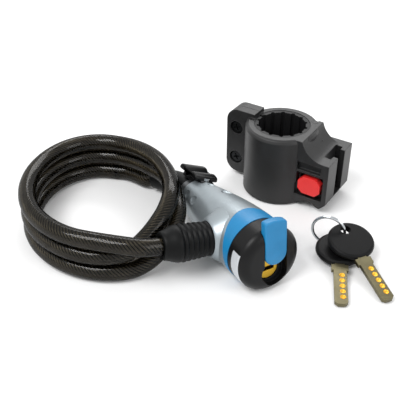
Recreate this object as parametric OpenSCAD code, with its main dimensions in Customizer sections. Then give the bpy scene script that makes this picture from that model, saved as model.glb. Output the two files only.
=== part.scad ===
// Coiled bicycle cable lock with its keys and its tube bracket.
// The frame stands at the foot of the bracket's tube axis, +Z up, millimetres.

/* [Cable] */
// Outer diameter of the sheathed cable
cable_d = 10; // [8:0.5:10.5]
// Half width of the coil's centre line, left to right
coil_rx = 42; // [42:0.5:50]
// Half depth of the coil's centre line, front to back
coil_ry = 49.5; // [49.5:0.5:58]

/* [Lock head] */
// Length of the head from its rear end to the rim of the front cap
head_len = 77; // [74:1:90]
// Radius of the head at its front rim
front_r = 18.5; // [18:0.5:23]
// Radius of the head at its rear end
rear_r = 10.5; // [10:0.25:13]
// Thickness of the moulded shell
shell_wall = 2.2; // [1.6:0.1:2.6]
// Nose-up angle of the head as it lies on its side
head_tilt = 5; // [3:0.5:7]
// Length of the black front cap behind its rim
cap_len = 9; // [8:0.5:12]
// Height of the domed front of the cap
cap_dome = 5; // [4:0.5:6]
// Key plug radius
plug_r = 6.2; // [5.6:0.1:6.6]
// Wall of the barrel round the key plug
barrel_wall = 1.8; // [1.5:0.1:1.9]
// Length of the barrel
barrel_len = 24.8; // [23:0.5:26]

/* [Dust cover] */
// Width of the sliding dust cover
cover_w = 13.2; // [12:0.2:15]
// Length of the dust cover
cover_len = 27; // [24:0.5:30]
// Thickness of the dust cover
cover_t = 4; // [3:0.25:4.5]
// Travel from open to closed
cover_travel = 13; // [10:0.5:14]

/* [Locking bolt] */
// Radius of the bolt on the free end of the cable
bolt_r = 5; // [4.5:0.1:5.2]
// Depth to which the bolt enters the head
bolt_depth = 13; // [12:0.5:14]
// Radius of the groove that the cam catches
groove_r = 3.0; // [2.6:0.1:3.1]

/* [Boots] */
// Largest radius of the ribbed boot
boot_r = 10.4; // [9.8:0.2:10.8]
// Number of ribs on the boot
boot_ribs = 6; // [4:1:6]
// Pitch of the ribs
rib_pitch = 3; // [2.6:0.1:3.2]
// Largest radius of the rear sleeve
sleeve_r = 7.4; // [7:0.1:7.8]

/* [Rail shoe] */
// Width of the T rail's flange
rail_w = 16; // [14:0.5:18]
// Thickness of the T rail's flange
rail_t = 3.4; // [3:0.1:4]
// Length of the T rail
rail_len = 20; // [18:0.5:22]
// Width of the rail's neck
neck_w = 9.2; // [8:0.2:10]

/* [Bracket] */
// Inner radius of the bracket on its liner's lands, for the bike's tube
tube_r = 14.3; // [12.7:0.05:15]
// Thickness of the rubber liner
liner_t = 2.7; // [2.2:0.1:3]
// Wall of the bracket's ring
ring_wall = 5.3; // [4.5:0.1:6]
// Height of the ring
ring_h = 45; // [42:0.5:50]
// Height of the receiver block's top
block_top = 34; // [33:0.5:38]
// Width of the receiver block
block_w = 33; // [31:0.5:36]
// Distance from the tube axis to the block's end face
block_reach = 38.6; // [38:0.2:42]
// Nominal diameter of the clamp screws
screw_d = 4; // [3:0.5:4]
// Distance between the two clamp screws
screw_pitch = 21.5; // [20:0.5:22]

/* [Release button] */
// Width of the red button
button_w = 14.4; // [12:0.2:15]
// Height of the red button
button_h = 11.4; // [10:0.2:12]
// Travel of the button
button_travel = 3; // [2:0.25:3.5]

/* [Keys] */
// Radius of the key's round grip
grip_r = 13; // [12:0.25:14]
// Thickness of the grip
grip_t = 4; // [3.5:0.1:4.2]
// Width of the blade
blade_w = 7; // [6.4:0.1:7.6]
// Thickness of the blade
blade_t = 2.2; // [1.8:0.1:2.3]
// Distance from the grip's centre to the blade's tip
key_reach = 42.2; // [40:0.2:44]
// Mean radius of the split ring
ring_r = 9.2; // [9:0.1:9.4]
// Radius of the split ring's wire
ring_wire = 0.8; // [0.6:0.05:0.9]

/* [Hidden] */
$fn = 48;

seam = 0.1;        // gap between moulded pieces that meet
slide_gap = 0.3;   // gap round pieces that slide
run_gap = 0.05;    // radial gap of a turning fit
eps = 0.01;
big = 200;

// ---- Lock head: its own frame runs along +X from the rear end to the front ----
head_x = -53;
head_y = -27.5;
head_az = -60;
head_z = front_r * cos(head_tilt) - head_len * sin(head_tilt) + 0.05;
cap_x0 = head_len - cap_len;         // rear edge of the front cap
face_x = head_len + cap_dome;        // flat front face of the cap
shell_end = cap_x0 - seam;
trim_back = cap_x0 - 3.2;            // rear edge of the trim ring on the flanks
trim_curve = 40;                     // radius of that edge, seen from the side
rear_round = 3;
shell_rise = 1.15;
shell_steps = 22;
sleeve_gap = 0.5;
mouth_r = bolt_r + 2.6;
core_x0 = 3;

function shell_r(x) = rear_r + (front_r - rear_r) * pow(sin(90 * min(x / (cap_x0 - 2), 1)), shell_rise)
    - (x < rear_round ? rear_round * (1 - sqrt(1 - pow(1 - x / rear_round, 2))) : 0);

module head_frame()
    translate([head_x, head_y, head_z]) rotate([0, -head_tilt, head_az]) children();

// Turns a solid of revolution about Z so that it runs along +X
module along_x(x = 0, y = 0, z = 0)
    translate([x, y, z]) rotate([0, 90, 0]) children();

// Space in front of the curved joint between the shell and the trim ring, which sweeps back at the top
module ahead_of_trim(gap = 0)
    difference() {
        translate([30, -big / 2, -big / 2]) cube([big, big, big]);
        translate([trim_back - trim_curve, 0, -8]) rotate([90, 0, 0])
            cylinder(r = trim_curve + gap, h = big, center = true, $fn = 120);
    }

module shell_body(inset = 0, x0 = 0, x1 = shell_end)
    along_x() rotate_extrude($fn = 72)
        polygon(concat([[0, x0]],
                       [for (i = [0:shell_steps]) let (x = x0 + (x1 - x0) * pow(i / shell_steps, 1.6))
                            [shell_r(x) - inset, x]],
                       [[0, x1]]));

module shell_cavity() {
    shell_body(shell_wall, core_x0, shell_end + eps);
    along_x(shell_end) cylinder(r = front_r - shell_wall, h = 5);
    along_x(-1) cylinder(r = mouth_r, h = core_x0 + 2);
}

// Grip hollows: two on the left flank, two on the right of the top
dimples = [[7.4, -50, 2.4], [17.2, -50, 2.8], [13.5, 20, 2], [28.8, 20, 3.2]];
module grip_hollows()
    for (d = dimples)
        rotate([-d[1], 0, 0]) translate([d[0], 0, shell_r(d[0]) + d[2] * 1.55]) sphere(r = d[2] * 1.9);

module head_shell() {
    color("#9AA1A5") head_frame() difference() {
        shell_body();
        shell_cavity();
        ahead_of_trim();
        port_frame() cylinder(r = port_r + seam, h = 40);
        shoe_frame() translate([shoe_screw_x, 0, 0]) cylinder(r = shoe_screw_r + seam, h = 30);
        grip_hollows();
    }
}

module trim_ring() {
    color("#2E90CC") head_frame() difference() {
        intersection() { shell_body(); ahead_of_trim(seam); }
        along_x(core_x0) cylinder(r = front_r - shell_wall, h = big);
    }
}

// ---- Port for the fixed end of the cable, on the left flank ----
port_x = 50;
port_lean = 5;
port_tilt = 8;
port_r = 6.3;
ferrule_wall = 1.2;
ferrule_start = plug_r + barrel_wall + 0.9;
port_seat = 16;
module port_frame()
    translate([port_x, 0, 0]) rotate([90 - port_tilt, 0, -port_lean]) children();

// ---- Key plug, off the head's axis ----
plug_y = 0.5;
plug_z = -6.8;
barrel_r = plug_r + barrel_wall;
barrel_x1 = cap_x0 + 6;
barrel_x0 = barrel_x1 - barrel_len;
channel_x = face_x - cover_t - 0.4;      // floor of the dust cover's channel
plug_x0 = barrel_x0 + 0.2;
plug_x1 = channel_x - 0.2;
bible_w = 5.2;
bible_h = 14.6;
pin_count = 5;
pin_r = 1.1;
pin_pitch = 4;
pin_x0 = barrel_x1 - 4;
shear = plug_r;
keyway_w = blade_w + 0.6;
keyway_t = blade_t + 0.4;
cam_r = 1.6;
cam_x0 = bolt_depth / 2 - 0.7;
cam_t = 3;
finger_len = 3.4;
finger_w = 3;

module plug_frame() translate([0, plug_y, plug_z]) children();

module barrel_outline(gap = 0) {
    circle(r = barrel_r + gap, $fn = 64);
    translate([-bible_h - gap, -bible_w / 2 - gap]) square([bible_h + gap, bible_w + 2 * gap]);
}

module lock_core() {
    color("#8E9092") head_frame() difference() {
        intersection() {
            shell_body(shell_wall + seam, core_x0 + seam, shell_end - seam);
            along_x(core_x0) cylinder(r = front_r - shell_wall - seam, h = big);
        }
        // bolt bore with its lead-in
        along_x(-1) cylinder(r = bolt_r + 0.15, h = bolt_depth + 2.5);
        // barrel seat, open to the front
        plug_frame() along_x(barrel_x0 - seam) linear_extrude(big) barrel_outline(seam);
        // cam shaft and the room that its finger turns in
        plug_frame() along_x(cam_x0) cylinder(r = cam_r + 0.2, h = big, $fn = 24);
        plug_frame() along_x(cam_x0 - 0.4) cylinder(r = finger_len + 0.9, h = cam_t + 0.8);
        // seat of the cable ferrule
        port_frame() translate([0, 0, ferrule_start - seam]) cylinder(r = port_r, h = 40);
        ferrule_pin_at() cylinder(r = ferrule_pin_r, h = 60, center = true, $fn = 24);
        barrel_pin_at() cylinder(r = barrel_pin_r, h = 40, $fn = 24);
        shoe_frame() translate([shoe_screw_x, 0, bolt_r + 1.2])
            cylinder(r = shoe_screw_r, h = 30, $fn = 24);
    }
}

module barrel() {
    color("#A8A49A") head_frame() plug_frame() difference() {
        along_x(barrel_x0) linear_extrude(barrel_len) barrel_outline();
        along_x(barrel_x0 - 1) cylinder(r = plug_r + run_gap, h = barrel_len + 2, $fn = 64);
        for (i = [0:pin_count - 1])
            translate([pin_x0 - i * pin_pitch, 0, 0]) cylinder(r = pin_r + run_gap, h = bible_h - 1, $fn = 24);
        translate([barrel_pin_x, 0, bible_h - barrel_pin_deep]) cylinder(r = barrel_pin_r, h = 10, $fn = 24);
    }
}

// Pin that keeps the barrel from being pulled out of the core
barrel_pin_r = 1;
barrel_pin_deep = 2.2;
barrel_pin_x = barrel_x0 + 1.9;
module barrel_pin_at()
    translate([barrel_pin_x, plug_y, plug_z + bible_h - barrel_pin_deep]) children();
module barrel_pin() {
    color("#B5B5B0") head_frame() barrel_pin_at() cylinder(r = barrel_pin_r, h = 4.6, $fn = 24);
}

module key_plug() {
    color("#C9A227") head_frame() plug_frame() difference() {
        union() {
            along_x(plug_x0) cylinder(r = plug_r, h = barrel_x1 + 0.1 - plug_x0, $fn = 64);
            along_x(barrel_x1) cylinder(r = plug_r - 0.2, h = plug_x1 - barrel_x1, $fn = 64);
        }
        translate([plug_x0 + 1.5, -keyway_w / 2, -keyway_t / 2]) cube([big, keyway_w, keyway_t]);
        for (i = [0:pin_count - 1])
            translate([pin_x0 - i * pin_pitch, 0, 0]) cylinder(r = pin_r, h = big, $fn = 24);
    }
}

module pin_row(z0, h)
    head_frame() plug_frame() for (i = [0:pin_count - 1])
        translate([pin_x0 - i * pin_pitch, 0, z0]) cylinder(r = pin_r, h = h, $fn = 24);

module plug_pins() { color("#C9A227") pin_row(keyway_t / 2 + 0.2, shear - keyway_t / 2 - 0.3); }
module driver_pins() { color("#B0B4B8") pin_row(shear + 0.1, 3.4); }

module pin_springs() {
    color("#C8CCD0") head_frame() plug_frame() for (i = [0:pin_count - 1])
        translate([pin_x0 - i * pin_pitch, 0, shear + 3.5]) difference() {
            cylinder(r = pin_r - 0.05, h = bible_h - shear - 4.6, $fn = 24);
            translate([0, 0, -1]) cylinder(r = pin_r - 0.4, h = 20, $fn = 24);
        }
}

// Shaft on the plug's tail with a finger that swings into the bolt's groove
module locking_cam() {
    color("#7D8084") head_frame() plug_frame() {
        along_x(cam_x0) cylinder(r = cam_r, h = plug_x0 - cam_x0, $fn = 24);
        translate([cam_x0, -finger_len, -finger_w / 2]) cube([cam_t, finger_len, finger_w]);
    }
}

// ---- Front cap ----
cover_y = 2.6;
cover_low = -2.5;
cover_r = cover_w / 2;
channel_low = cover_low - cover_travel - slide_gap;

module cap_blank()
    along_x() rotate_extrude($fn = 72)
        polygon(concat([[0, cap_x0], [front_r - 0.3, cap_x0]],
                       [for (i = [0:10]) let (t = 90 * i / 10)
                            [front_r - 6 * (1 - cos(t)), head_len + cap_dome * sin(t)]],
                       [[0, face_x]]));

// Outline of the cover in its sliding plane, tip down
module cover_outline(len, gap = 0) {
    translate([0, cover_r]) circle(r = cover_r + gap);
    translate([-cover_r - gap, cover_r]) square([cover_w + 2 * gap, len - cover_r]);
}

module in_face_plane(x)
    translate([x, 0, 0]) rotate([90, 0, 90]) children();

module front_cap() {
    color("#1E1F22") head_frame() difference() {
        cap_blank();
        plug_frame() along_x(cap_x0 - 1) linear_extrude(barrel_x1 - cap_x0 + 1 + seam)
            barrel_outline(seam);
        plug_frame() along_x(cap_x0) cylinder(r = plug_r + 0.4, h = 40);
        in_face_plane(channel_x) linear_extrude(20) translate([cover_y, channel_low])
            cover_outline(big, slide_gap);
        plate_room(seam);
    }
}

// Blank plate let into the left shoulder of the cap
plate_w = 20;
plate_len = 6.6;
plate_t = 1.8;
plate_roll = 8;
module plate_room(gap = 0)
    rotate([plate_roll, 0, 0]) difference() {
        translate([cap_x0 + 3.6 - gap, -2 * front_r, -plate_w / 2 - gap])
            cube([plate_len + 2 * gap, 2 * front_r, plate_w + 2 * gap]);
        along_x(0) cylinder(r = front_r - plate_t - gap, h = big, $fn = 72);
    }
module name_plate() {
    color("#C9CCD0") head_frame() intersection() {
        plate_room();
        cap_blank();
    }
}

module dust_cover() {
    rim = front_r;
    color("#2E90CC") head_frame() intersection() {
        in_face_plane(channel_x + 0.15) linear_extrude(cover_t + 0.8) translate([cover_y, cover_low])
            cover_outline(cover_len);
        translate([0, 0, cover_low + cover_len - rim - 0.5]) along_x(0)
            cylinder(r = rim + 0.5, h = big, $fn = 96);
    }
}

// ---- Rail shoe on the head's back ----
shoe_roll = 24;
rail_x0 = -13;
rail_low = shell_r(6) + 0.4;
shoe_screw_x = 4.7;
shoe_screw_r = 1.5;
screw_head_r = 2 * shoe_screw_r;
screw_seat = shell_r(shoe_screw_x + screw_head_r) + 0.2;   // clear of the shell, which widens forward
shoe_foot_len = 9;
shoe_foot_w = 12;
dip_r = 5;
dip_deep = 1.9;
module shoe_frame() rotate([-shoe_roll, 0, 0]) children();

// The rail's section: flange on a neck, drawn in its YZ plane
module mount_shoe() {
    neck_low = sleeve_r + 1.2;
    color("#202124") head_frame() difference() {
        shoe_frame() union() {
            difference() {
                translate([rail_x0, -rail_w / 2, rail_low]) cube([rail_len, rail_w, rail_t]);
                translate([rail_x0 + rail_len * 0.42, 0, rail_low + rail_t - dip_deep + dip_r])
                    rotate([90, 0, 0]) cylinder(r = dip_r, h = rail_w + 2, center = true);
            }
            translate([rail_x0 + 1, -neck_w / 2, neck_low])
                cube([rail_len - 2, neck_w, rail_low - neck_low + eps]);
            translate([0.5, -shoe_foot_w / 2, neck_low])
                cube([shoe_foot_len, shoe_foot_w, rail_low - neck_low + eps]);
        }
        shell_body(-seam);
        along_x(-30) cylinder(r = mouth_r + 1.2, h = 31);
        shoe_frame() translate([shoe_screw_x, 0, 0]) {
            cylinder(r = shoe_screw_r + seam, h = 40, $fn = 24);
            translate([0, 0, screw_seat]) cylinder(r = screw_head_r, h = 20);
        }
    }
}

module shoe_screw() {
    color("#A9ADB1") head_frame() shoe_frame() translate([shoe_screw_x, 0, 0]) difference() {
        union() {
            translate([0, 0, bolt_r + 1.4]) cylinder(r = shoe_screw_r - 0.02, h = screw_seat - bolt_r - 1.2, $fn = 24);
            translate([0, 0, screw_seat]) cylinder(r = screw_head_r - 0.1, h = 1.6);
        }
        translate([0, 0, screw_seat + 0.8]) cylinder(r = 1.2, h = 2, $fn = 6);
    }
}

// ---- Fixed end of the cable: ferrule, cross pin and ribbed boot ----
boot_len = 30;
boot_bore = cable_d / 2 + 0.1;
boot_collar = 2;
boot_tip_r = cable_d / 2 + 2.6;
ferrule_pin_r = 1.2;

module ferrule_pin_at()
    port_frame() translate([0, 0, ferrule_start + 3.2]) rotate([0, 90, 0]) children();

module front_ferrule() {
    color("#9A9DA0") head_frame() port_frame() difference() {
        translate([0, 0, ferrule_start]) cylinder(r = port_r - seam, h = port_seat - ferrule_start + 5);
        translate([0, 0, ferrule_start + 5.2]) cylinder(r = cable_d / 2 + 0.02, h = 30);
        translate([0, 0, 0]) ferrule_pin_hole();
    }
}
module ferrule_pin_hole()
    translate([0, 0, ferrule_start + 3.2]) rotate([0, 90, 0])
        cylinder(r = ferrule_pin_r, h = 40, center = true, $fn = 24);

module ferrule_pin() {
    color("#B5B5B0") head_frame() ferrule_pin_at()
        cylinder(r = ferrule_pin_r - 0.02, h = 2 * port_r + 3, center = true, $fn = 24);
}

// Profile of the boot: collar, ribs that swell outward, then a smooth taper to the cable
boot_grow = (boot_r - 9) / (boot_ribs + 1);
boot_z0 = port_seat - 3;
function rib_z(i) = boot_z0 + 3 + boot_collar + i * rib_pitch;
function boot_profile() = concat(
    [[port_r + seam, boot_z0], [9, boot_z0], [9, boot_z0 + 3 + boot_collar - 0.8]],
    [for (i = [0:boot_ribs - 1]) each
        [[8.2 + i * boot_grow, rib_z(i)], [8.2 + i * boot_grow, rib_z(i) + 0.8],
         [9 + (i + 1) * boot_grow, rib_z(i) + 1.3], [9 + (i + 1) * boot_grow, rib_z(i) + rib_pitch - 0.5]]],
    [[boot_r - 0.4, rib_z(boot_ribs) + 1], [boot_tip_r + 1, boot_z0 + boot_len - 1],
     [boot_tip_r, boot_z0 + boot_len + 3], [boot_bore, boot_z0 + boot_len + 3],
     [boot_bore, port_seat + 5 + seam], [port_r + seam, port_seat + 5 + seam]]);

module front_boot() {
    color("#161719") head_frame() difference() {
        port_frame() rotate_extrude($fn = 64) polygon(boot_profile());
        shell_body(-seam);
    }
}

// ---- Free end of the cable: bolt, ferrule and curved sleeve ----
sleeve_bend_r = 26;
sleeve_bend = 28;
sleeve_lead = 4;
sleeve_tail = 14;
sleeve_roll = 8;       // turns the bend a little downwards
sleeve_tip_r = cable_d / 2 + 1.3;
ferrule_out = mouth_r - 0.2;

module bolt_ferrule() {
    color("#A4A7AA") head_frame() difference() {
        along_x(-sleeve_lead - 2) cylinder(r = ferrule_out, h = sleeve_lead + 2 + core_x0 - 0.4);
        along_x(-sleeve_lead - 3) cylinder(r = cable_d / 2 + 0.05, h = sleeve_lead + 1.5);
        along_x(-1) cylinder(r = 3, h = 10);
    }
}

module locking_bolt() {
    color("#B9BDC1") head_frame() along_x() rotate_extrude()
        polygon([[0, -0.9], [2.9, -0.9], [2.9, core_x0 - 0.3], [bolt_r, core_x0 - 0.3],
                 [bolt_r, cam_x0 - 0.7], [groove_r, cam_x0 - 0.7], [groove_r, cam_x0 + cam_t + 0.7],
                 [bolt_r, cam_x0 + cam_t + 0.7], [bolt_r, bolt_depth - 1.6],
                 [bolt_r - 1.6, bolt_depth], [0, bolt_depth]]);
}

// Sleeve frame: Z runs back along the cable from the end of the ferrule
module sleeve_frame()
    translate([-sleeve_lead - 2.1, 0, 0]) rotate([sleeve_roll, 0, 0]) rotate([0, -90, 0]) children();

// Moves to the end of the bend, which turns the axis towards the left flank
module after_bend()
    translate([0, -sleeve_bend_r, 0]) rotate([sleeve_bend, 0, 0]) translate([0, sleeve_bend_r, 0]) children();

// Ring section of the sleeve, swept round the bend
module sleeve_section(r) difference() {
    circle(r = r, $fn = 48);
    circle(r = cable_d / 2 + 0.3, $fn = 48);
}

module rear_sleeve() {
    color("#17181A") head_frame() sleeve_frame() {
        linear_extrude(3) sleeve_section(sleeve_r);
        translate([0, 0, 3]) {
            translate([0, -sleeve_bend_r, 0]) rotate([0, 90, 0]) rotate([0, 0, 90])
                rotate_extrude(angle = sleeve_bend, $fn = 64) translate([sleeve_bend_r, 0])
                    sleeve_section(sleeve_r);
            after_bend() rotate_extrude($fn = 48)
                polygon([[cable_d / 2 + 0.3, 0], [sleeve_r, 0], [sleeve_tip_r, sleeve_tail],
                         [cable_d / 2 + 0.3, sleeve_tail]]);
        }
    }
}

// ---- Cable route ----
// Rotations of a point, to carry the port and the sleeve's ends into the shared frame
function rx(a, p) = [p[0], p[1] * cos(a) - p[2] * sin(a), p[1] * sin(a) + p[2] * cos(a)];
function ry(a, p) = [p[0] * cos(a) + p[2] * sin(a), p[1], -p[0] * sin(a) + p[2] * cos(a)];
function rz(a, p) = [p[0] * cos(a) - p[1] * sin(a), p[0] * sin(a) + p[1] * cos(a), p[2]];
function from_head(p) = [head_x, head_y, head_z] + rz(head_az, ry(-head_tilt, p));
function from_port(d) = from_head([port_x, 0, 0] + rz(-port_lean, rx(90 - port_tilt, [0, 0, d])));
function from_sleeve(q) = from_head([-sleeve_lead - 2.1, 0, 0] + rx(sleeve_roll, ry(-90, q)));
function bend_point(a) = [0, -sleeve_bend_r * (1 - cos(a)), 3 + sleeve_bend_r * sin(a)];
function past_bend(d) = bend_point(sleeve_bend) + d * [0, -sin(sleeve_bend), cos(sleeve_bend)];

coil_x = -107;
coil_y = -39.5;
coil_bulge = 4;        // how far the coil's sides sit in front of its middle
coil_skew = 9.3;       // right side further forward than the left side
layer = 10.3;          // height of one turn on another
floor_z = 5.1;
side_step = 2.4;       // the second turn lies outside the first at the right
side_in = 3.2;         // and the first one draws in to pass under the boot
side_out = 1;
function smooth(t) = let (u = max(0, min(1, t))) u * u * (3 - 2 * u);
// Sweep angle s starts at the front of the top turn and goes round clockwise
function turn_of(s) = floor(s / 360);
function lift(s) = let (n = turn_of(s), f = s - 360 * n, bump = n == 0 ? 3.8 : 4.4)
    bump * smooth((f - 180) / 60) - (layer + bump) * smooth((f - (n == 0 ? 264 : 259)) / (n == 0 ? 77 : 74));
function coil_z(s) = floor_z + layer * (2 - turn_of(s)) + (s < 750 ? lift(s) : 0);
function hump(s, at) = exp(-pow((s - at) / 30, 2));
function out_step(s) = side_step * smooth((s - 575) / 18) * (1 - smooth((s - 629) / 45))
    - side_in * hump(s, 307) + side_out * hump(s, 654);
function coil_point(s) = let (t = 270 - s)
    [coil_x + (coil_rx + out_step(s)) * cos(t),
     coil_y + (coil_ry + out_step(s)) * sin(t) - coil_bulge * pow(cos(t), 2) - coil_skew * cos(t),
     coil_z(s)];

coil_step = 13.5;
coil_end = 904.5;
tail_gap = 0.04;       // between the two lengths of cable
lead_in = [from_port(ferrule_start + 5.4), from_port(port_seat + 8), from_port(port_seat + 20),
           from_port(boot_z0 + boot_len + 4), [-80, -93.6, 24.6], [-91, -92.8, 25.6]];
coil_turns = [for (s = [0:coil_step:coil_end + eps]) coil_point(s)];
seam_dir = unit([-97.5, 8, 5.1] - coil_point(coil_end));
tail_turns = concat([coil_point(coil_end) + tail_gap * seam_dir],
                    [[-97.5, 8, 5.1], [-91, 4.2, 5.2], [-84, -1.3, 5.7]],
                    [for (d = [sleeve_tail + 1, sleeve_tail * 0.5, 1.5]) from_sleeve(past_bend(d))],
                    [for (a = [sleeve_bend:-7:0]) from_sleeve(bend_point(a))],
                    [from_sleeve([0, 0, -0.4])]);
route = concat(lead_in, coil_turns, tail_turns);
coil_last = len(lead_in) + len(coil_turns) - 1;

// Tube swept along a list of points: a ring of sides across the mean direction at each
function unit(v) = v / norm(v);
function tangent(p, i) = i == coil_last || i == coil_last + 1 ? seam_dir
    : unit((i < len(p) - 1 ? p[i + 1] : p[i]) - (i > 0 ? p[i - 1] : p[i]));
function ring_at(p, i, r, n) = let (t = tangent(p, i), u = unit(cross([0, 0, 1], t)), v = cross(t, u))
    [for (k = [0:n - 1]) p[i] + r * (cos(360 * (k + 0.5) / n) * u + sin(360 * (k + 0.5) / n) * v)];
module tube(first, end, r, n = 10) {
    last = end - first;
    polyhedron(
        points = [for (i = [first:end]) each ring_at(route, i, r, n)],
        faces = concat(
            [[for (k = [0:n - 1]) n - 1 - k]],
            [for (i = [0:last - 1], k = [0:n - 1]) let (a = i * n + k, b = i * n + (k + 1) % n)
                each [[a, b, b + n], [a, b + n, a + n]]],
            [[for (k = [0:n - 1]) last * n + k]]));
}

module cable_coil() { color("#3A332C") tube(0, coil_last, cable_d / 2); }
module cable_tail() { color("#3A332C") tube(coil_last + 1, len(route) - 1, cable_d / 2); }

// ---- Bracket: its own frame has +X from the tube axis to the receiver block ----
bracket_az = -33;
bore_r = tube_r + liner_t;
ring_out = bore_r + ring_wall;
split_y = 2;           // the two halves meet on this plane at the ear
block_y = 3;
block_low = 3;
ear_reach = 36.5;
ear_half = 6;
ear_top = ring_h + 2.5;
ear_low = 3;
ear_round = 8;
screw_x = -29.5;
screw_z0 = 13.5;
slot_y = 3.7;
slot_in = rail_w + 1;
slot_mouth = neck_w + 1;
slot_deep = rail_t + 0.8;
lip_t = 3;
slot_low = 7;
slot_x0 = block_reach - lip_t - slot_deep;
swoop_r = 15;
strap_end = 38;        // angle at which the strap hooks on to the body
hook_r = 1.9;

module bracket_frame() rotate([0, 0, bracket_az]) children();

// Plan of one half of the ring: from the ear round to the hook
module half_plan(side) {
    far = 3 * ring_out;
    a = strap_end;
    if (side > 0)
        polygon([[0, 0], far * [cos(a), sin(a)], [far, far], [-far, far], [-far, split_y], [-bore_r, split_y]]);
    else
        polygon([[0, 0], far * [cos(a), sin(a)], [far, -far], [-far, -far], [-far, split_y], [-bore_r, split_y]]);
}

module ear(y0, y1)
    translate([0, y1, 0]) rotate([90, 0, 0]) linear_extrude(y1 - y0) difference() {
        translate([-ear_reach, ear_low]) square([ear_reach - bore_r, ear_top - ear_low]);
        for (z = [ear_low, ear_top]) let (s = z == ear_low ? 1 : -1)
            translate([-ear_reach, z]) difference() {
                translate([-1, s > 0 ? -1 : -ear_round]) square([ear_round + 1, ear_round + 1]);
                translate([ear_round, s * ear_round]) circle(r = ear_round);
            }
    }

module ring_body()
    rotate_extrude($fn = 96)
        polygon([[0, 0], [ring_out - 1, 0], [ring_out, 1], [ring_out, ring_h - 2.2], [ring_out - 0.7, ring_h - 0.7],
                 [ring_out - 2.2, ring_h], [0, ring_h]]);

module hook_at(r) rotate([0, 0, strap_end]) translate([ring_out - 2.1, 0, -1]) cylinder(r = r, h = ring_h + 2);

module screw_axes()
    for (i = [0, 1]) translate([screw_x, 0, screw_z0 + i * screw_pitch]) rotate([90, 0, 0]) children();

module receiver_block() {
    y0 = block_y - block_w / 2;
    difference() {
        union() {
            translate([bore_r + 1, y0, block_low])
                cube([block_reach - bore_r - 1, block_w, block_top - block_low]);
            translate([6, y0, block_low]) cube([15, -y0, block_top - block_low]);
            // raised root of the swoop, narrower at the back
            translate([8, y0, block_top - 1])
                cube([block_reach - 8, block_w - 4.5, ring_h - block_top + 1 - eps]);
        }
        // swoop from the ring's rim down to the block's top
        translate([swoop_r + ring_out - 2.5, 0, block_top + swoop_r]) rotate([90, 0, 0])
            cylinder(r = swoop_r, h = big, center = true, $fn = 96);
        translate([swoop_r + ring_out - 2.5, -big / 2, block_top]) cube([big, big, big]);
        // arch under the button
        translate([ring_out + 4.5, 0, -3.5]) rotate([90, 0, 0])
            cylinder(r = 9, h = big, center = true, $fn = 64);
        // rounded lower corner of the end
        translate([block_reach, 0, block_low]) rotate([90, 45, 0])
            cube([5, 5, big], center = true);
        // T slot for the head's rail, open at the top
        translate([slot_x0, slot_y - slot_in / 2, slot_low]) cube([slot_deep, slot_in, big]);
        translate([slot_x0, slot_y - slot_mouth / 2, slot_low]) cube([big, slot_mouth, big]);
        button_pocket();
    }
}

// Side pocket with the red button in it, and the pocket under the top flange
button_x = slot_x0 - 11.5;
button_z = 10.8;
button_y = block_y - block_w / 2;
pocket_deep = 4;
stem_w = 6;
stem_h = 7;
stem_x = button_x + 3.2;
stem_len = 14.5;
module button_pocket() {
    g = slide_gap;
    translate([button_x - 1.5, button_y - 1, button_z - 2.5])
        cube([button_w + 3, pocket_deep + 1, button_h + 5]);
    translate([button_x - 1.5, button_y - 1, button_z + button_h + 4])
        cube([button_w + 1, 2.6 + 1, 5.5]);
    translate([ring_out - 4.5, button_y - 1, button_z - 2.5]) cube([3.5, 2.2 + 1, 8]);
    translate([button_x - g, button_y - 1, button_z - g])
        cube([button_w + 2 * g, pocket_deep + 1 + button_travel + g, button_h + 2 * g]);
    translate([stem_x - g, button_y, button_z + 2.5 - g])
        cube([stem_w + 2 * g, pocket_deep + stem_len + button_travel + 5.5, stem_h + 2 * g]);
}

module bracket_body() {
    color("#242528") bracket_frame() difference() {
        intersection() {
            union() {
                ring_body();
                ear(split_y - ear_half, split_y - seam);
                receiver_block();
            }
            union() {
                linear_extrude(big) half_plan(-1);
                rotate([0, 0, strap_end]) translate([ring_out + 0.3, -2, 0]) cube([big, big, big]);
            }
        }
        translate([0, 0, -1]) cylinder(r = bore_r, h = big, $fn = 96);
        screw_axes() cylinder(r = screw_d / 2 + 0.15, h = big, center = true);
        screw_axes() translate([0, 0, -split_y + ear_half - 3.2]) cylinder(r = screw_d + 0.4, h = 20);
        hook_at(hook_r + 0.1);
        button_pocket();
    }
}

module bracket_strap() {
    color("#242528") bracket_frame() {
        difference() {
            union() {
                intersection() {
                    union() {
                        ring_body();
                        ear(split_y + seam, split_y + ear_half);
                    }
                    difference() {
                        linear_extrude(big) half_plan(1);
                        rotate([0, 0, strap_end]) translate([ring_out + 0.3, -big, -1]) cube([big, 2 * big, big]);
                    }
                }
                intersection() { hook_at(hook_r); translate([-big, -big, 0]) cube([2 * big, 2 * big, ring_h]); }
            }
            translate([0, 0, -1]) cylinder(r = bore_r, h = big, $fn = 96);
            screw_axes() cylinder(r = screw_d / 2 + 0.15, h = big, center = true);
            screw_axes() translate([0, 0, -split_y - ear_half - 1])
                cylinder(r = nut_af / 2 / cos(30) + seam, h = nut_t + 1.2, $fn = 6);
        }
    }
}

land_count = 14;
module bracket_liner() {
    color("#1A1A1C") bracket_frame() linear_extrude(ring_h - 0.3) difference() {
        circle(r = bore_r - 0.05, $fn = 96);
        circle(r = tube_r, $fn = 96);
        for (i = [0:land_count - 1]) rotate(360 * (i + 0.5) / land_count)
            translate([tube_r, 0]) circle(r = 1.25, $fn = 24);
        translate([-big, split_y - 0.8]) square([big, 1.6]);
    }
}

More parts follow.
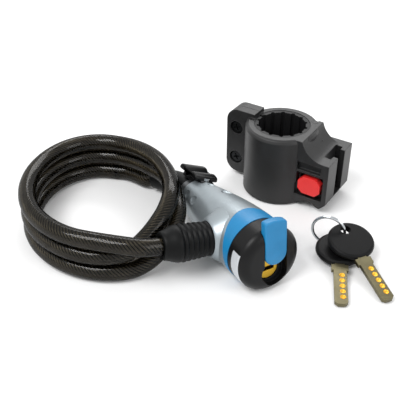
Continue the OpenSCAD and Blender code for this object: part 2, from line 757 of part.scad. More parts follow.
nut_af = 7 * screw_d / 4;
nut_t = 0.8 * screw_d;
module clamp_screws() {
    head_r = 0.92 * screw_d;
    color("#2B2C2E") bracket_frame() screw_axes() difference() {
        union() {
            translate([0, 0, -split_y + ear_half - 3.2]) cylinder(r = head_r, h = 2.4);
            translate([0, 0, -split_y - ear_half + 0.6])
                cylinder(r = screw_d / 2, h = 2 * ear_half - 3.8 + eps, $fn = 32);
        }
        for (a = [0, 90]) rotate([0, 0, a + 20]) translate([-head_r * 0.6, -0.45, -split_y + ear_half - 2.2])
            cube([head_r * 1.2, 0.9, 4]);
    }
}

module clamp_nuts() {
    color("#9EA2A6") bracket_frame() screw_axes() translate([0, 0, -split_y - ear_half])
        difference() {
            cylinder(r = nut_af / 2 / cos(30), h = nut_t, $fn = 6);
            translate([0, 0, -1]) cylinder(r = screw_d / 2 + 0.02, h = nut_t + 2, $fn = 32);
        }
}

button_proud = 0.5;
button_chamfer = 3;
module release_button() {
    c = button_chamfer;
    w = button_w;
    h = button_h;
    face = button_y - button_proud + pocket_deep - 4;
    color("#EB2D2D") bracket_frame() {
        translate([button_x, face + pocket_deep + 0.5, button_z]) rotate([90, 0, 0])
            linear_extrude(pocket_deep + 0.5)
                polygon([[c, 0], [w - c, 0], [w, c], [w, h - c], [w - c, h], [c, h], [0, h - c], [0, c]]);
        translate([stem_x, face + pocket_deep + 0.4, button_z + 2.5]) cube([stem_w, stem_len, stem_h]);
    }
}

module button_spring() {
    y0 = button_y - button_proud + 2 * pocket_deep + 0.4 + stem_len - 4 + 0.05;
    y1 = button_y + pocket_deep + stem_len + button_travel + 5.5 - 0.05;
    color("#C8CCD0") bracket_frame() translate([stem_x + stem_w / 2, y0, button_z + 2.5 + stem_h / 2])
        rotate([-90, 0, 0]) difference() {
            cylinder(r = 2.4, h = y1 - y0);
            translate([0, 0, -1]) cylinder(r = 1.8, h = 40);
        }
}

// ---- Keys on their split ring ----
hole_back = 7.2;       // from the grip's centre back to its hole
hole_r = 3;
key_1_at = [28.1, -70.2, 2.3];
key_1_az = -96.5;
key_1_dip = 3.4;
key_2_at = [34, -69.6, 7.9];
key_2_az = -70;
key_2_dip = 11;
blade_start = grip_r - 4;
dimple_y = 0.9;
tongue_w = 5.2;
shoulder_w = blade_w + 2.2;

// Key frame: origin at the grip's centre on its underside, blade along +X
module key_frame(at, az, dip) translate(at) rotate([0, dip, az]) children();
module key_1_frame() key_frame(key_1_at, key_1_az, key_1_dip) children();
module key_2_frame() key_frame(key_2_at, key_2_az, key_2_dip) children();

module key_grip() {
    lift = (grip_t - blade_t) / 2;
    difference() {
        scale_disc();
        translate([-hole_back, 0, -1]) cylinder(r = hole_r, h = grip_t + 2);
        translate([blade_start - 0.02, -tongue_w / 2 - 0.02, lift - 0.02])
            cube([big, tongue_w + 0.04, blade_t + 0.04]);
    }
}
// Round grip with domed edges
module scale_disc()
    rotate_extrude($fn = 64)
        polygon([[0, 0], [grip_r - 1.6, 0], [grip_r - 0.6, 0.5], [grip_r, 1.5], [grip_r, grip_t - 1.5],
                 [grip_r - 0.6, grip_t - 0.5], [grip_r - 1.6, grip_t], [0, grip_t]]);

module key_blade() {
    lift = (grip_t - blade_t) / 2;
    tip = 1.6;
    difference() {
        translate([0, 0, lift]) linear_extrude(blade_t) {
            translate([blade_start, -tongue_w / 2]) square([grip_r - blade_start + 1, tongue_w]);
            translate([grip_r + 0.3, -shoulder_w / 2]) square([4.2, shoulder_w]);
            polygon([[grip_r + 4, -blade_w / 2], [key_reach - tip, -blade_w / 2], [key_reach, -blade_w / 2 + tip],
                     [key_reach, blade_w / 2 - tip], [key_reach - tip, blade_w / 2], [grip_r + 4, blade_w / 2]]);
        }
        for (i = [0:4]) translate([key_reach - 5 - i * pin_pitch, dimple_y, lift + blade_t + 0.6])
            sphere(r = 1.7, $fn = 32);
    }
}

module key_1_blade() { color("#B5B09A") key_1_frame() key_blade(); }
module key_1_grip() { color("#1D1E20") key_1_frame() key_grip(); }
module key_2_blade() { color("#B5B09A") key_2_frame() key_blade(); }
module key_2_grip() { color("#1D1E20") key_2_frame() key_grip(); }

split_at = [23, -60.8, 10.3];
split_az = -111;      // the ring stands on edge, through the holes of both keys
module split_ring() {
    color("#C6CACD") translate(split_at) rotate([0, 90, split_az])
        rotate_extrude($fn = 64) translate([ring_r, 0]) circle(r = ring_wire, $fn = 24);
}

head_shell();
lock_core();
trim_ring();
front_cap();
name_plate();
barrel();
barrel_pin();
key_plug();
plug_pins();
driver_pins();
pin_springs();
locking_cam();
dust_cover();
mount_shoe();
shoe_screw();
front_boot();
front_ferrule();
ferrule_pin();
cable_coil();
cable_tail();
rear_sleeve();
bolt_ferrule();
locking_bolt();
bracket_body();
bracket_strap();
bracket_liner();
clamp_screws();
clamp_nuts();
release_button();
button_spring();
split_ring();
key_1_blade();
key_1_grip();
key_2_blade();
key_2_grip();
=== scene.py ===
import math
import bmesh
import bpy
from mathutils import Matrix, Vector


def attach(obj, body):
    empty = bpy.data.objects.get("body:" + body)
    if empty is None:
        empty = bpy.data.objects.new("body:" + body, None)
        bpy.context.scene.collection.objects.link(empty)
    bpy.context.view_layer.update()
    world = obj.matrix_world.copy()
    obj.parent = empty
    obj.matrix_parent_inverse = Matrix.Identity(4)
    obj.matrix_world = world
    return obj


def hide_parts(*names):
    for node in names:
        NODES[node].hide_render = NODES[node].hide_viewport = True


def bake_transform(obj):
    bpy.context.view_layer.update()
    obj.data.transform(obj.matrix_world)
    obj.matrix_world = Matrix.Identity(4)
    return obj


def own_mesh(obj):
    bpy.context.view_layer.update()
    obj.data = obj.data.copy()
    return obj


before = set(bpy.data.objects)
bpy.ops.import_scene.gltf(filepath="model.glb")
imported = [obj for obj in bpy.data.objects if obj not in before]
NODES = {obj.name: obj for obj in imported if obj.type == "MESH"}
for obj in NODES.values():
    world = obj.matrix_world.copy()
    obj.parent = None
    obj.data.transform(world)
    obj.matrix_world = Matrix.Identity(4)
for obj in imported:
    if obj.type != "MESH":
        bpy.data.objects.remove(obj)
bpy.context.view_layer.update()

MM = 0.001


# ---------------------------------------------------------------- camera and light
def aim(obj, target):
    """Turns obj so that its -Z axis points at target."""
    away = Vector(target) - obj.location
    obj.rotation_euler = away.to_track_quat("-Z", "Y").to_euler()


camera = bpy.data.objects.new("camera", bpy.data.cameras.new("camera"))
bpy.context.collection.objects.link(camera)
camera.data.sensor_width = 36
camera.data.lens = 60.7
camera.location = (-0.0452, -0.3724, 0.2527)
camera.rotation_euler = (math.radians(54), 0, 0)
camera.data.clip_start = 0.01
bpy.context.scene.camera = camera
bpy.context.scene.view_settings.view_transform = "Standard"


# ---------------------------------------------------------------- frames of the parts
def placed(x, y, z, *turns):
    """Frame at x, y, z in mm, turned by (degrees, axis) pairs, the last one first."""
    m = Matrix.Translation((x, y, z))
    for angle, axis in turns:
        m = m @ Matrix.Rotation(math.radians(angle), 4, axis)
    return m


FRONT_R = 18.5
HEAD_LEN = 77
TILT = 5
HEAD_Z = FRONT_R * math.cos(math.radians(TILT)) - HEAD_LEN * math.sin(math.radians(TILT)) + 0.05
HEAD = placed(-53, -27.5, HEAD_Z, (-60, "Z"), (-TILT, "Y"))
PORT = HEAD @ placed(50, 0, 0, (-5, "Z"), (82, "X"))
SLEEVE = HEAD @ placed(-6.1, 0, 0, (8, "X"), (-90, "Y"))
BRACKET = placed(0, 0, 0, (-33, "Z"))
KEY_1 = placed(28.1, -70.2, 2.3, (-96.5, "Z"), (3.4, "Y"))
KEY_2 = placed(34, -69.6, 7.9, (-70, "Z"), (11, "Y"))


# ---------------------------------------------------------------- cable route, as in the CAD
CABLE_R = 5
COIL_X = -107
COIL_Y = -39.5
COIL_RX = 42
COIL_RY = 49.5
COIL_BULGE = 4       # how far the coil's sides sit in front of its middle
COIL_SKEW = 9.3      # how much further forward the right side is than the middle
LAYER = 10.3         # height of one turn on another
LOW_Z = 5.1          # middle of the bottom turn
SIDE_STEP = 2.4      # the second turn lies outside the first at the right
SIDE_IN = 3.2        # and the first one draws in to pass under the boot
BEND_R = 26
BEND = 28


def smooth(t):
    """0 up to t = 0, 1 from t = 1, and eased between."""
    u = max(0, min(1, t))
    return u * u * (3 - 2 * u)


def lift(s):
    """Rise over the turn that is crossed, then the drop to the next layer."""
    n = int(s // 360)
    f = s - 360 * n
    bump = 3.8 if n == 0 else 4.4
    fall = (264, 77) if n == 0 else (259, 74)
    return bump * smooth((f - 180) / 60) - (LAYER + bump) * smooth((f - fall[0]) / fall[1])


def out_step(s):
    """Small steps out and in where turns pass each other."""
    side = SIDE_STEP * smooth((s - 575) / 18) * (1 - smooth((s - 629) / 45))
    return side - SIDE_IN * math.exp(-((s - 307) / 30) ** 2) + math.exp(-((s - 654) / 30) ** 2)


def coil_point(s):
    """Middle of the cable s degrees round the coil, which starts on its top layer."""
    t = math.radians(270 - s)
    r = out_step(s)
    x = COIL_X + (COIL_RX + r) * math.cos(t)
    y = COIL_Y + (COIL_RY + r) * math.sin(t) - COIL_BULGE * math.cos(t) ** 2 - COIL_SKEW * math.cos(t)
    z = LOW_Z + LAYER * (2 - int(s // 360)) + (lift(s) if s < 750 else 0)
    return Vector((x, y, z))


def bend_point(a):
    """Middle of the cable a degrees round the sleeve's bend."""
    a = math.radians(a)
    return SLEEVE @ Vector((0, -BEND_R * (1 - math.cos(a)), 3 + BEND_R * math.sin(a)))


def past_bend(d):
    """Middle of the cable d mm straight on from the bend."""
    a = math.radians(BEND)
    p = Vector((0, -BEND_R * (1 - math.cos(a)), 3 + BEND_R * math.sin(a)))
    return SLEEVE @ (p + d * Vector((0, -math.sin(a), math.cos(a))))


def curve_through(points, step):
    """Points step mm apart on the smooth line through the given ones."""
    ends = [2 * points[0] - points[1]] + points + [2 * points[-1] - points[-2]]
    fine = []
    for i in range(1, len(ends) - 2):
        p0, p1, p2, p3 = ends[i - 1:i + 3]
        for k in range(12):
            t = k / 12
            fine.append(0.5 * (2 * p1 + (p2 - p0) * t + (2 * p0 - 5 * p1 + 4 * p2 - p3) * t * t
                               + (3 * p1 - p0 - 3 * p2 + p3) * t ** 3))
    fine.append(points[-1])
    out = [fine[0]]
    left = step
    for a, b in zip(fine[:-1], fine[1:]):
        gap = (b - a).length
        while gap >= left > 0:
            a = a + (b - a) * (left / gap)
            out.append(a)
            gap -= left
            left = step
        left -= gap
    if (out[-1] - points[-1]).length > 0.3 * step:
        out.append(points[-1])
    return out


COIL_END = 904.5
COIL_TURN = 13.5     # degrees from one point of the coil to the next
LEAD_IN = ([PORT @ Vector((0, 0, d)) for d in (26, 36, 47)]
           + [Vector((-80, -93.6, 24.6)), Vector((-91, -92.8, 25.6))])
COIL_ROUTE = LEAD_IN + [coil_point(COIL_TURN * i) for i in range(int(COIL_END / COIL_TURN) + 1)]
TAIL_ROUTE = ([coil_point(COIL_END)]
              + [Vector((-97.5, 8, 5.1)), Vector((-91, 4.2, 5.2)), Vector((-84, -1.3, 5.7))]
              + [past_bend(d) for d in (15, 7, 1.5)] + [bend_point(a) for a in (28, 21, 14, 7, 0)]
              + [SLEEVE @ Vector((0, 0, -0.4))])


# ---------------------------------------------------------------- mesh helpers
def deselect():
    if bpy.context.object and bpy.context.object.mode != "OBJECT":
        bpy.ops.object.mode_set(mode="OBJECT")
    bpy.ops.object.select_all(action="DESELECT")


def take(obj):
    deselect()
    obj.select_set(True)
    bpy.context.view_layer.objects.active = obj


def object_from(name, mesh):
    obj = bpy.data.objects.new(name, mesh)
    bpy.context.collection.objects.link(obj)
    return obj


def apply_all(obj):
    take(obj)
    for m in list(obj.modifiers):
        bpy.ops.object.modifier_apply(modifier=m.name)


def settle(obj, place=None, angle=35):
    """Moves the mesh, made in mm in its own frame, to its place in metres and smooths its shading."""
    apply_all(obj)
    m = Matrix.Scale(MM, 4) @ (place if place is not None else Matrix.Identity(4))
    obj.data.transform(m)
    take(obj)
    bpy.ops.object.mode_set(mode="EDIT")
    bpy.ops.mesh.select_all(action="SELECT")
    bpy.ops.mesh.normals_make_consistent(inside=False)
    bpy.ops.object.mode_set(mode="OBJECT")
    bpy.ops.object.shade_smooth_by_angle(angle=math.radians(angle))
    deselect()
    return obj


def plate(name, outline, depth, bevel, segments):
    """Outline in mm in the XY plane, pulled up by depth, with rounded edges."""
    deselect()
    bpy.ops.mesh.primitive_circle_add(vertices=len(outline), radius=1, fill_type="NOTHING")
    obj = bpy.context.object
    obj.name = name
    for v, p in zip(obj.data.vertices, outline):
        v.co = (p[0], p[1], 0)
    bpy.ops.object.mode_set(mode="EDIT")
    bpy.ops.mesh.select_all(action="SELECT")
    bpy.ops.mesh.edge_face_add()
    bpy.ops.mesh.extrude_region_move(TRANSFORM_OT_translate={"value": (0, 0, depth)})
    bpy.ops.object.mode_set(mode="OBJECT")
    m = obj.modifiers.new("round", "BEVEL")
    m.width = bevel
    m.segments = segments
    m.limit_method = "ANGLE"
    m.angle_limit = math.radians(40)
    return obj


def skin(name, rings):
    """Closed tube through rings of points, each with as many points."""
    bm = bmesh.new()
    rings = [[bm.verts.new(p) for p in ring] for ring in rings]
    for one, two in zip(rings[:-1], rings[1:]):
        for k in range(len(one)):
            n = (k + 1) % len(one)
            bm.faces.new((one[k], one[n], two[n], two[k]))
    bm.faces.new(list(reversed(rings[0])))
    bm.faces.new(rings[-1])
    mesh = bpy.data.meshes.new(name)
    bm.to_mesh(mesh)
    bm.free()
    return object_from(name, mesh)


def sweep(name, line, radius, sides, offset=None):
    """Closed tube along a line of points in mm.

    offset(travelled) gives a place in the section's plane and a radius."""
    rings = []
    up = Vector((0, 0, 1))
    travelled = 0
    for i, p in enumerate(line):
        a = line[max(i - 1, 0)]
        b = line[min(i + 1, len(line) - 1)]
        t = (b - a).normalized()
        side = up.cross(t).normalized()
        top = t.cross(side)
        if i:
            travelled += (p - line[i - 1]).length
        cx, cy, r = offset(travelled) if offset else (0, 0, radius)
        c = p + side * cx + top * cy
        ring = []
        for k in range(sides):
            u = 2 * math.pi * k / sides
            ring.append(c + side * (r * math.cos(u)) + top * (r * math.sin(u)))
        rings.append(ring)
    return skin(name, rings)


def join(name, parts):
    deselect()
    for p in parts:
        p.select_set(True)
    bpy.context.view_layer.objects.active = parts[0]
    bpy.ops.object.join()
    parts[0].name = name
    return parts[0]


# ---------------------------------------------------------------- cable
LAY = 20.0       # length of one twist of the strands
STRANDS = 10
STRAND_R = 0.8
STRAND_AT = 3.6  # from the cable's middle to a strand's
CORE_R = 3.3
SHEATH_SIDES = 20
CORE_SIDES = 14
STRAND_SIDES = 8
COIL_STEP = 2.2
TAIL_STEP = 1.8


def strands(name, line):
    """Steel strands twisted round the core."""
    made = []
    for n in range(STRANDS):
        def offset(travelled, n=n):
            a = 2 * math.pi * (n / STRANDS + travelled / LAY)
            return STRAND_AT * math.cos(a), STRAND_AT * math.sin(a), STRAND_R
        made.append(sweep(f"{name}_{n}", line, STRAND_R, STRAND_SIDES, offset))
    return settle(join(name, made), angle=60)


coil_line = curve_through(COIL_ROUTE, COIL_STEP)
tail_line = curve_through(TAIL_ROUTE, TAIL_STEP)
cable = settle(sweep("cable_sheath", coil_line, CABLE_R, SHEATH_SIDES), angle=60)
cable_wires = strands("cable_wires", coil_line)
tail = settle(sweep("tail_sheath", tail_line, CABLE_R, SHEATH_SIDES), angle=60)
tail_wires = strands("tail_wires", tail_line)
# near-black core inside the strands: painted shade for the gaps between them
cable_shade_core = settle(sweep("cable_shade_core", coil_line, CORE_R, CORE_SIDES), angle=60)
tail_shade_core = settle(sweep("tail_shade_core", tail_line, CORE_R, CORE_SIDES), angle=60)

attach(cable, "lock_head")
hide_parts("cable_coil")
for piece in (cable_wires, cable_shade_core):
    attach(piece, "lock_head")
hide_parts("cable_tail")
for piece in (tail, tail_wires, tail_shade_core):
    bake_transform(piece)


# ---------------------------------------------------------------- materials
def hexed(code):
    """Linear colour of an sRGB hex code."""
    out = []
    for i in (1, 3, 5):
        v = int(code[i:i + 2], 16) / 255
        out.append(v / 12.92 if v <= 0.04045 else ((v + 0.055) / 1.055) ** 2.4)
    return (*out, 1.0)


def add(tree, kind, settings=None, **inputs):
    """Adds a shader node; inputs are values, or (node, output) pairs to link."""
    n = tree.nodes.new("ShaderNode" + kind)
    for k, v in (settings or {}).items():
        setattr(n, k, v)
    for k, v in inputs.items():
        socket = n.inputs[int(k[1:])] if k[0] == "i" and k[1:].isdigit() else n.inputs[k.replace("_", " ")]
        if isinstance(v, tuple) and v and isinstance(v[0], bpy.types.Node):
            tree.links.new(v[0].outputs[v[1]], socket)
        else:
            socket.default_value = v
    return n


def blank(name):
    m = bpy.data.materials.new(name)
    m.use_nodes = True
    m.node_tree.nodes.clear()
    return m, m.node_tree


def two_tone(tree, fac, low, high, colours):
    ramp = add(tree, "ValToRGB", Fac=fac)
    ramp.color_ramp.elements[0].position = low
    ramp.color_ramp.elements[0].color = hexed(colours[0])
    ramp.color_ramp.elements[1].position = high
    ramp.color_ramp.elements[1].color = hexed(colours[1])
    return ramp


def solid(name, base, shade, rough, metal=0.0, grain=0.35, bump=0.15, round_edge=0.3, sheen=0.5):
    """A moulded or metal surface.

    grain is the texture's size and round_edge softens the edges, both in mm; sheen is for plastics only."""
    m, t = blank(name)
    at = add(t, "TexCoord")
    scaled = add(t, "Mapping", Vector=(at, "Object"), Scale=(1 / (grain * MM),) * 3)
    fine = add(t, "TexNoise", Vector=(scaled, "Vector"), Scale=1.0, Detail=3.0, Roughness=0.6)
    wide = add(t, "TexNoise", Vector=(at, "Object"), Scale=1 / (9 * MM), Detail=4.0, Roughness=0.55)
    tone = two_tone(t, (wide, "Fac"), 0.3, 0.75, (shade, base))
    rough_map = add(t, "MapRange", Value=(fine, "Fac"), To_Min=max(rough - 0.06, 0.02), To_Max=rough + 0.08)
    edge = add(t, "Bevel", {"samples": 6}, Radius=round_edge * MM)
    bumped = add(t, "Bump", Strength=bump, Distance=0.05 * MM, Height=(fine, "Fac"), Normal=(edge, "Normal"))
    b = add(t, "BsdfPrincipled", Base_Color=(tone, "Color"), Roughness=(rough_map, "Result"),
            Normal=(bumped, "Normal"))
    b.inputs["Metallic"].default_value = metal
    if not metal:
        b.inputs["Specular IOR Level"].default_value = sheen
    add(t, "OutputMaterial", Surface=(b, "BSDF"))
    return m


def clear_sheath(name):
    """Smoky clear cable sheath: darker where it is seen through a longer way."""
    m, t = blank(name)
    facing = add(t, "LayerWeight", Blend=0.35)
    tint = two_tone(t, (facing, "Facing"), 0.1, 0.9, ("#9A958B", "#2A2725"))
    at = add(t, "TexCoord")
    wide = add(t, "TexNoise", Vector=(at, "Object"), Scale=1 / (6 * MM), Detail=3.0)
    ripple = add(t, "Bump", Strength=0.12, Distance=0.1 * MM, Height=(wide, "Fac"))
    clear = add(t, "BsdfTransparent", Color=(tint, "Color"))
    gloss = add(t, "BsdfGlossy", Color=(1, 1, 1, 1), Roughness=0.14, Normal=(ripple, "Normal"))
    rim = add(t, "Fresnel", IOR=1.5, Normal=(ripple, "Normal"))
    soft = add(t, "Math", {"operation": "MULTIPLY"}, i0=(rim, "Fac"), i1=0.4)
    mix = add(t, "MixShader", Fac=(soft, "Value"), i1=(clear, "BSDF"), i2=(gloss, "BSDF"))
    add(t, "OutputMaterial", Surface=(mix, "Shader"))
    return m


MATERIALS = {
    # satin silver paint on the head's shell
    "silver_paint": solid("silver_paint", "#9DA6AA", "#929A9F", 0.36, 0.65, 0.12, 0.12, 0.25),
    # zinc die casting
    "die_cast": solid("die_cast", "#8E9092", "#808284", 0.45, 1.0, 0.4, 0.3, 0.2),
    # blue moulded plastic of the trim ring and the dust cover
    "blue_plastic": solid("blue_plastic", "#1B7CB0", "#1774A6", 0.36, 0.0, 0.3, 0.08, 0.35, sheen=0.35),
    # black moulded plastic of the cap
    "cap_plastic": solid("cap_plastic", "#0C0C0D", "#09090A", 0.36, 0.0, 0.35, 0.2, 0.5, sheen=0.2),
    # blank label plate
    "pale_plate": solid("pale_plate", "#C9CCD0", "#BFC3C7", 0.4, 0.2, 0.3, 0.08, 0.2),
    # turned nickel barrel
    "nickel": solid("nickel", "#A8A49A", "#96928A", 0.3, 1.0, 0.3, 0.15, 0.15),
    # brass of the plug and pins
    "brass": solid("brass", "#CDA83C", "#B48F2E", 0.28, 1.0, 0.3, 0.15, 0.15),
    # small bright steel parts
    "steel": solid("steel", "#B5B8BA", "#A4A7A9", 0.27, 1.0, 0.25, 0.15, 0.1),
    # satin black rubber of the boots
    "boot_rubber": solid("boot_rubber", "#08090A", "#060707", 0.42, 0.0, 0.4, 0.25, 0.35, sheen=0.14),
    # black nylon of the bracket
    "bracket_nylon": solid("bracket_nylon", "#1E1E1F", "#171717", 0.4, 0.0, 0.45, 0.35, 0.6, sheen=0.45),
    # soft rubber liner
    "liner_rubber": solid("liner_rubber", "#141415", "#0F0F10", 0.5, 0.0, 0.5, 0.3, 0.25, sheen=0.3),
    # blackened screws
    "black_screw": solid("black_screw", "#2B2C2E", "#202122", 0.35, 0.9, 0.2, 0.15, 0.15),
    # red release button
    "button_red": solid("button_red", "#EB2D2D", "#E02828", 0.36, 0.0, 0.4, 0.1, 0.4),
    # nickel silver of the key blades
    "key_nickel": solid("key_nickel", "#767058", "#68624C", 0.44, 1.0, 0.2, 0.2, 0.15),
    # painted highlight: gold in the code dimples, standing in for the glint on the nickel silver blade
    "pit_painted_glint": solid("pit_painted_glint", "#F0C24A", "#D9A030", 0.32, 0.85, 0.2, 0.1, 0.0),
    # polished steel wire
    "ring_steel": solid("ring_steel", "#C6CACD", "#B4B8BB", 0.15, 1.0, 0.3, 0.05, 0.05),
    # moulded grips of the keys
    "grip_plastic": solid("grip_plastic", "#0C0C0D", "#09090A", 0.42, 0.0, 0.35, 0.2, 0.4, sheen=0.14),
    # twisted steel strands of the cable
    "strand_steel": solid("strand_steel", "#A3A199", "#77746C", 0.3, 1.0, 0.3, 0.2, 0.0),
    # near-black core: painted shade that shows in the gaps between the strands
    "cable_shade_core": solid("cable_shade_core", "#0C0B0A", "#080807", 0.6, 0.0, 0.4, 0.1, 0.0, sheen=0.2),
    # smoky clear sheath over the strands
    "clear_sheath": clear_sheath("clear_sheath"),
}
WEARS = {
    "head_shell": "silver_paint", "lock_core": "die_cast", "trim_ring": "blue_plastic",
    "front_cap": "cap_plastic", "name_plate": "pale_plate", "barrel": "nickel", "barrel_pin": "steel",
    "key_plug": "brass", "plug_pins": "brass", "driver_pins": "steel", "pin_springs": "steel",
    "locking_cam": "steel", "dust_cover": "blue_plastic", "mount_shoe": "cap_plastic",
    "shoe_screw": "steel", "front_boot": "boot_rubber", "front_ferrule": "die_cast",
    "ferrule_pin": "steel", "cable_coil": "clear_sheath", "cable_tail": "clear_sheath",
    "rear_sleeve": "boot_rubber", "bolt_ferrule": "die_cast", "locking_bolt": "steel",
    "bracket_body": "bracket_nylon", "bracket_strap": "bracket_nylon", "bracket_liner": "liner_rubber",
    "clamp_screws": "black_screw", "clamp_nuts": "steel", "release_button": "button_red",
    "button_spring": "steel", "split_ring": "ring_steel", "key_1_blade": "key_nickel",
    "key_1_grip": "grip_plastic", "key_2_blade": "key_nickel", "key_2_grip": "grip_plastic",
}


def dress(obj, name):
    obj.data.materials.clear()
    obj.data.materials.append(MATERIALS[name])


for node_name, material in WEARS.items():
    obj = NODES[node_name]
    for slot in obj.material_slots:
        slot.material = MATERIALS[material]
for piece, material in ((cable, "clear_sheath"), (tail, "clear_sheath"), (cable_wires, "strand_steel"),
                        (tail_wires, "strand_steel"), (cable_shade_core, "cable_shade_core"), (tail_shade_core, "cable_shade_core")):
    dress(piece, material)


# ---------------------------------------------------------------- split ring: two turns of wire
RING = placed(23, -60.8, 10.3, (-111, "Z"), (90, "Y"))


RING_R = 9.2
WIRE_WIDE = 0.72     # half of the wire's width, outwards from the ring's middle
WIRE_THICK = 0.4     # half of its thickness
TURN_OFF = 0.42      # each turn's distance from the ring's middle plane
RING_POINTS = 128
WIRE_SIDES = 12


def wire_ring(name):
    """Flattened wire wound twice round, stepping from one side to the other halfway."""
    rings = []
    for i in range(RING_POINTS + 1):
        a = 4 * math.pi * i / RING_POINTS
        step = smooth((i / RING_POINTS - 0.42) / 0.16) * 2 - 1
        c = Vector((RING_R * math.cos(a), RING_R * math.sin(a), TURN_OFF * step))
        out = Vector((math.cos(a), math.sin(a), 0))
        ring = []
        for k in range(WIRE_SIDES):
            u = 2 * math.pi * k / WIRE_SIDES
            ring.append(c + out * (WIRE_WIDE * math.cos(u)) + Vector((0, 0, WIRE_THICK * math.sin(u))))
        rings.append(ring)
    return skin(name, rings)


split = settle(wire_ring("split_wire"), RING, 50)
dress(split, "ring_steel")
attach(split, "key_ring")
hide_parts("split_ring")


# ---------------------------------------------------------------- dust cover
FACE_X = 77.75
COVER_Y = 2.6
COVER_HALF = 6.6
COVER_LOW = -2.5
COVER_TOP = 24.5
RIM_R = 19


def cover_outline():
    """Rounded tip, straight sides and a top that follows the head's rim."""
    pts = []
    for i in range(17):
        a = math.pi + math.pi * i / 16
        pts.append((COVER_Y + COVER_HALF * math.cos(a), COVER_LOW + COVER_HALF + COVER_HALF * math.sin(a)))
    for i in range(13):
        y = COVER_Y + COVER_HALF - 2 * COVER_HALF * i / 12
        pts.append((y, COVER_TOP - RIM_R + math.sqrt(RIM_R ** 2 - y * y)))
    return pts


FACE_PLANE = HEAD @ placed(FACE_X, 0, 0, (90, "Z"), (90, "X"))
cover = settle(plate("cover_plate", cover_outline(), 4.8, 0.9, 4), FACE_PLANE, 40)
dress(cover, "blue_plastic")
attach(cover, "cover")
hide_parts("dust_cover")


# ---------------------------------------------------------------- ribbed boot
def turned(name, profile, steps):
    """Profile of (radius, height) pairs in mm spun round +Z."""
    mesh = bpy.data.meshes.new(name)
    mesh.from_pydata([(r, 0, h) for r, h in profile], [(i, i + 1) for i in range(len(profile) - 1)], [])
    obj = object_from(name, mesh)
    take(obj)
    bpy.ops.object.mode_set(mode="EDIT")
    bpy.ops.mesh.select_all(action="SELECT")
    bpy.ops.mesh.spin(steps=steps, angle=2 * math.pi, center=(0, 0, 0), axis=(0, 0, 1))
    bpy.ops.mesh.select_all(action="SELECT")
    bpy.ops.mesh.remove_doubles(threshold=0.001)
    bpy.ops.object.mode_set(mode="OBJECT")
    return obj


COLLAR_R = 9.3
RIBS = 6
RIB_FIRST = 18
RIB_PITCH = 3
RIB_GROW = 0.19      # each rib is this much wider than the one before


def boot_profile():
    """Collar, widening ribs and a lip, closed along the bore."""
    pts = [(6.5, 13), (8.8, 13.1), (COLLAR_R, 14), (COLLAR_R, 17.2), (9.0, 17.7)]
    for i in range(RIBS):
        crest = COLLAR_R + RIB_GROW * (i + 1)
        z = RIB_FIRST + RIB_PITCH * i
        pts += [(crest - 1.05, z + 0.05), (crest - 1.05, z + 0.5), (crest - 0.45, z + 0.8),
                (crest - 0.1, z + 1.2), (crest, z + 1.7), (crest - 0.1, z + 2.25), (crest - 0.45, z + 2.65)]
    pts += [(9.4, 36.1), (10.1, 36.6), (10.2, 37.6), (9.9, 39), (9.3, 40.7), (8.6, 42.3), (8.1, 44),
            (7.8, 45.3), (7.4, 45.9), (6.6, 46), (5.2, 46), (5.15, 44), (5.15, 22), (6.5, 21)]
    return pts + pts[:1]


boot = settle(turned("boot_rubber_ribs", boot_profile(), 72), PORT, 50)
dress(boot, "boot_rubber")
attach(boot, "lock_head")
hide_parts("front_boot")


# ---------------------------------------------------------------- silver flare round the boot's root
FLARE = [(9.5, 10), (16, 10), (13.4, 14), (11.8, 16.6), (10.8, 18), (10.2, 18.8), (9.7, 19.1), (9.45, 18.9),
         (9.5, 10)]
flare = settle(turned("port_flare", FLARE, 72), PORT, 50)
dress(flare, "silver_paint")
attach(flare, "lock_head")


# ---------------------------------------------------------------- rail shoe with its two soft humps
SHOE_ROLL = 24
SHOE_BACK, SHOE_FRONT = -13, 7
SHOE_HALF = 8
RAIL_LOW = 11.5
RAIL_TOP = 15.2
HUMP = 1.5
DIP = 1.9
DIP_AT = 0.52        # share of the rail's length, from its back
DIP_WIDE = 0.13


def shoe_outline():
    """Side view of the rail: flat below, with two humps and a dip between them above."""
    pts = [(SHOE_BACK, RAIL_LOW), (SHOE_FRONT, RAIL_LOW)]
    for i in range(25):
        u = 1 - i / 24
        wave = math.sin(math.pi * min(u, 1 - u) * 2) ** 0.6 if u not in (0, 1) else 0
        dip = math.exp(-((u - DIP_AT) / DIP_WIDE) ** 2)
        pts.append((SHOE_BACK + (SHOE_FRONT - SHOE_BACK) * u, RAIL_TOP - HUMP + HUMP * wave - DIP * dip))
    return pts


SHOE = HEAD @ placed(0, 0, 0, (-SHOE_ROLL, "X"))
rail = plate("rail_shoe", shoe_outline(), 2 * SHOE_HALF, 1.1, 4)
settle(rail, SHOE @ placed(0, SHOE_HALF, 0, (90, "X")), 50)
NECK_SIDE = [(-12, 7.5), (6, 7.5), (9.5, 9.5), (9.5, 11.2), (6, RAIL_LOW + 1), (-12, RAIL_LOW + 1)]
neck = plate("rail_neck", NECK_SIDE, 9, 0.4, 2)
settle(neck, SHOE @ placed(0, 4.5, 0, (90, "X")), 50)
shoe = join("rail_shoe", [rail, neck])
dress(shoe, "cap_plastic")
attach(shoe, "lock_head")
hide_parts("mount_shoe")


# ---------------------------------------------------------------- key dimples with painted gold glints, and the bracket's moulding pip
PIT_COUNT = 5
PIT_FIRST = 37.2     # from the grip's centre to the dimple nearest the tip
PIT_PITCH = 4
PIT_SIDE = 0.9
PIT_TOP = 3.12
BOWL = [(0.02, -0.52), (0.5, -0.46), (0.9, -0.3), (1.25, -0.04), (1.42, 0.02), (1.5, 0.02)]
PIP = [(0.01, 0.35), (0.45, 0.3), (0.65, 0.1), (0.7, -0.2), (0.01, -0.2)]


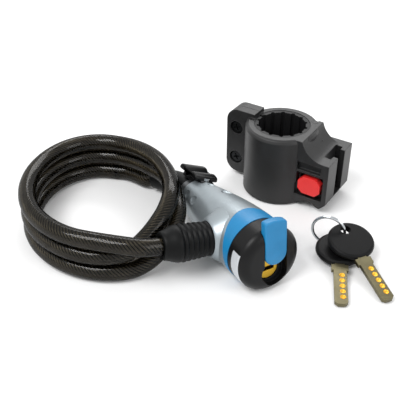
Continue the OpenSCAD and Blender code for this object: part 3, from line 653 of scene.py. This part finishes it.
def pit_glints(name, key):
    """Shallow gold bowls, one in each code dimple of a blade: a painted glint on the nickel silver."""
    made = []
    for i in range(PIT_COUNT):
        bowl = turned(f"{name}_{i}", BOWL, 24)
        bowl.data.transform(Matrix.Translation((PIT_FIRST - PIT_PITCH * i, PIT_SIDE, PIT_TOP)))
        made.append(bowl)
    return settle(join(name, made), key, 60)


# gold bowls in the dimples are a painted highlight, not brass
for name, key, body in (("key_1_pit_glints", KEY_1, "key_1"), ("key_2_pit_glints", KEY_2, "key_2")):
    piece = pit_glints(name, key)
    dress(piece, "pit_painted_glint")
    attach(piece, body)

pip = settle(turned("mould_pip", PIP, 20), BRACKET @ placed(24.5, 6, 38), 60)
dress(pip, "bracket_nylon")
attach(pip, "bracket")


# ---------------------------------------------------------------- spring behind the red button
SPRING_TURNS = 5
SPRING_R = 2.05
SPRING_WIRE = 0.3    # the wire's radius
TURN_POINTS = 24
SPRING_PLAY = 0.15


def spring_ends():
    """Middle and both ends of the spring's seat, in the bracket's frame."""
    node = NODES["button_spring"]
    pts = [BRACKET.inverted() @ (node.matrix_world @ v.co / MM) for v in node.data.vertices]
    low = [min(p[i] for p in pts) for i in range(3)]
    high = [max(p[i] for p in pts) for i in range(3)]
    return (low[0] + high[0]) / 2, low[1] + SPRING_PLAY, high[1] - SPRING_PLAY, (low[2] + high[2]) / 2


spring_x, spring_near, spring_far, spring_z = spring_ends()
spring_len = spring_far - spring_near
helix = []
for i in range(TURN_POINTS * SPRING_TURNS + 1):
    turn = 2 * math.pi * i / TURN_POINTS
    rise = SPRING_WIRE + (spring_len - 2 * SPRING_WIRE) * i / (TURN_POINTS * SPRING_TURNS)
    helix.append(Vector((SPRING_R * math.cos(turn), SPRING_R * math.sin(turn), rise)))
spring = settle(sweep("button_coil", helix, SPRING_WIRE, 8),
                BRACKET @ placed(spring_x, spring_near, spring_z, (-90, "X")), 60)
dress(spring, "steel")
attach(spring, "bracket")
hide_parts("button_spring")
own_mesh(spring)


# ---------------------------------------------------------------- floor, world and lamps
def pale_floor():
    m, t = blank("pale_floor")
    b = add(t, "BsdfDiffuse", Color=hexed("#F4F4F4"))
    add(t, "OutputMaterial", Surface=(b, "BSDF"))
    return m


deselect()
bpy.ops.mesh.primitive_plane_add(size=6, location=(0, 0, -0.0002))
floor = bpy.context.object
floor.name = "floor"
floor.data.materials.append(pale_floor())

world = bpy.data.worlds.new("studio")
bpy.context.scene.world = world
world.use_nodes = True
wt = world.node_tree
wt.nodes.clear()
path = add(wt, "LightPath")
seen = add(wt, "Math", {"operation": "MAXIMUM"}, i0=(path, "Is Camera Ray"), i1=(path, "Is Transmission Ray"))
seen = add(wt, "Math", {"operation": "MAXIMUM"}, i0=(seen, "Value"), i1=(path, "Is Glossy Ray"))
soft = add(wt, "Background", Color=(1, 1, 1, 1), Strength=0.62)
white = add(wt, "Background", Color=(1, 1, 1, 1), Strength=1.0)
either = add(wt, "MixShader", Fac=(seen, "Value"), i1=(soft, "Background"), i2=(white, "Background"))
add(wt, "OutputWorld", Surface=(either, "Shader"))


def lamp(name, at, target, size, watts):
    data = bpy.data.lights.new(name, "AREA")
    data.shape = "RECTANGLE"
    data.size, data.size_y = size
    data.energy = watts
    obj = bpy.data.objects.new(name, data)
    bpy.context.collection.objects.link(obj)
    obj.location = at
    aim(obj, target)
    return obj


lamp("key_lamp", (-0.45, -0.35, 0.75), (-0.05, -0.03, 0), (0.5, 0.35), 5.5)
lamp("fill_lamp", (0.6, -0.5, 0.5), (-0.03, -0.03, 0), (0.5, 0.5), 2.2)
lamp("back_lamp", (0.05, 0.6, 0.6), (-0.05, -0.03, 0), (0.7, 0.25), 3.0)
